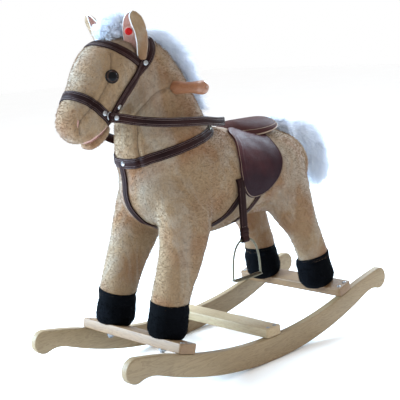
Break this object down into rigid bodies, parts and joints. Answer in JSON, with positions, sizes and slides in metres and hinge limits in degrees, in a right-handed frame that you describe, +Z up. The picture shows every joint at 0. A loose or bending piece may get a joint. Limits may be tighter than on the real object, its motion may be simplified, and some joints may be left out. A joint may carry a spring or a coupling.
{
  "type": "rocking horse",
  "caption": "Stuffed plush rocking horse with saddle, bridle, stirrups and turned hand grips, standing on slats between two curved wooden rockers.",
  "frame": {"origin": "on the floor under the middle of the object: the lowest level of the rockers, midway between them", "axes": "+X forward to the head, +Y to the horse's left, +Z up"},
  "size_m": [0.7268, 0.28, 0.6698],
  "materials": {
    "plush": "short golden beige plush, brushed, with warmer brown shading",
    "white_hair": "long white fibre hair",
    "hoof_plush": "short black plush",
    "strap_leather": "dark brown leatherette with rows of stitching",
    "saddle_leather": "reddish dark brown leatherette, satin, cream edge stitching",
    "pale_wood": "pale solid wood, clear satin lacquer",
    "pine": "warm orange pine, clear satin lacquer",
    "turned_wood": "turned wood, orange brown gloss lacquer",
    "zinc_steel": "zinc plated steel",
    "stirrup_metal": "thin nickelled wire with a warm brass tint",
    "eye_plastic": "clear domed plastic eye, brown ring and black pupil",
    "button_cloth": "red cloth over a press button",
    "case_plastic": "off-white moulded plastic"
  },
  "bodies": {
    "horse": {"breast_strap": "strap_leather", "browband": "strap_leather", "cheek_strap": "strap_leather", "chest_strap": "strap_leather", "ear_left": "plush", "ear_right": "plush", "eye_left": "eye_plastic", "eye_right": "eye_plastic", "forelock": "white_hair", "front_hoof_left": "hoof_plush", "front_hoof_right": "hoof_plush", "front_leg_arch": "zinc_steel", "front_leg_left": "plush", "front_leg_nut_left": "zinc_steel", "front_leg_nut_right": "zinc_steel", "front_leg_right": "plush", "girth": "strap_leather", "handle": "turned_wood", "head": "plush", "mane": "white_hair", "neck_post": "pine", "noseband": "strap_leather", "rear_hoof_left": "hoof_plush", "rear_hoof_right": "hoof_plush", "rear_leg_arch": "zinc_steel", "rear_leg_left": "plush", "rear_leg_nut_left": "zinc_steel", "rear_leg_nut_right": "zinc_steel", "rear_leg_right": "plush", "rein_left": "strap_leather", "rein_right": "strap_leather", "rocker_left": "pale_wood", "rocker_right": "pale_wood", "saddle_flaps": "saddle_leather", "saddle_seat": "saddle_leather", "screw_front_left_a": "zinc_steel", "screw_front_left_b": "zinc_steel", "screw_front_right_a": "zinc_steel", "screw_front_right_b": "zinc_steel", "screw_middle_left_a": "zinc_steel", "screw_middle_left_b": "zinc_steel", "screw_middle_right_a": "zinc_steel", "screw_middle_right_b": "zinc_steel", "screw_rear_left_a": "zinc_steel", "screw_rear_left_b": "zinc_steel", "screw_rear_right_a": "zinc_steel", "screw_rear_right_b": "zinc_steel", "slat_front": "pine", "slat_middle": "pale_wood", "slat_rear": "pine", "sound_box": "case_plastic", "spine_beam": "pine", "torso": "plush"},
    "tail": {"tail": "white_hair"},
    "lower_jaw": {"lower_jaw": "plush"},
    "ear_button": {"ear_button": "button_cloth"},
    "stirrup_leather_left": {"stirrup_leather_left": "strap_leather"},
    "stirrup_leather_right": {"stirrup_leather_right": "strap_leather"},
    "stirrup_left": {"stirrup_left": "stirrup_metal"},
    "stirrup_right": {"stirrup_right": "stirrup_metal"}
  },
  "joints": [
    {"name": "stirrup_leather_left_swing", "type": "hinge", "parent": "horse", "child": "stirrup_leather_left", "pos_m": [0.025, 0.102, 0.366], "axis": [0, 1, 0], "range_deg": [-20, 30]},
    {"name": "stirrup_left_tilt", "type": "hinge", "parent": "stirrup_leather_left", "child": "stirrup_left", "pos_m": [0.025, 0.102, 0.2375], "axis": [1, 0, 0], "range_deg": [-30, 30]},
    {"name": "stirrup_leather_right_swing", "type": "hinge", "parent": "horse", "child": "stirrup_leather_right", "pos_m": [0.025, -0.102, 0.366], "axis": [0, 1, 0], "range_deg": [-20, 30]},
    {"name": "stirrup_right_tilt", "type": "hinge", "parent": "stirrup_leather_right", "child": "stirrup_right", "pos_m": [0.025, -0.102, 0.2375], "axis": [1, 0, 0], "range_deg": [-30, 30]},
    {"name": "tail_swing", "type": "hinge", "parent": "horse", "child": "tail", "pos_m": [-0.218, 0, 0.413], "axis": [1, 0, 0], "range_deg": [-15, 15]},
    {"name": "jaw_open", "type": "hinge", "parent": "horse", "child": "lower_jaw", "pos_m": [0.262, 0, 0.475], "axis": [0, 1, 0], "range_deg": [-2, 8]},
    {"name": "ear_button_press", "type": "slide", "parent": "horse", "child": "ear_button", "axis": [-0.7707, -0.6371, 0], "range_m": [0, 0.002], "stiffness_N_per_m": 300}
  ]
}
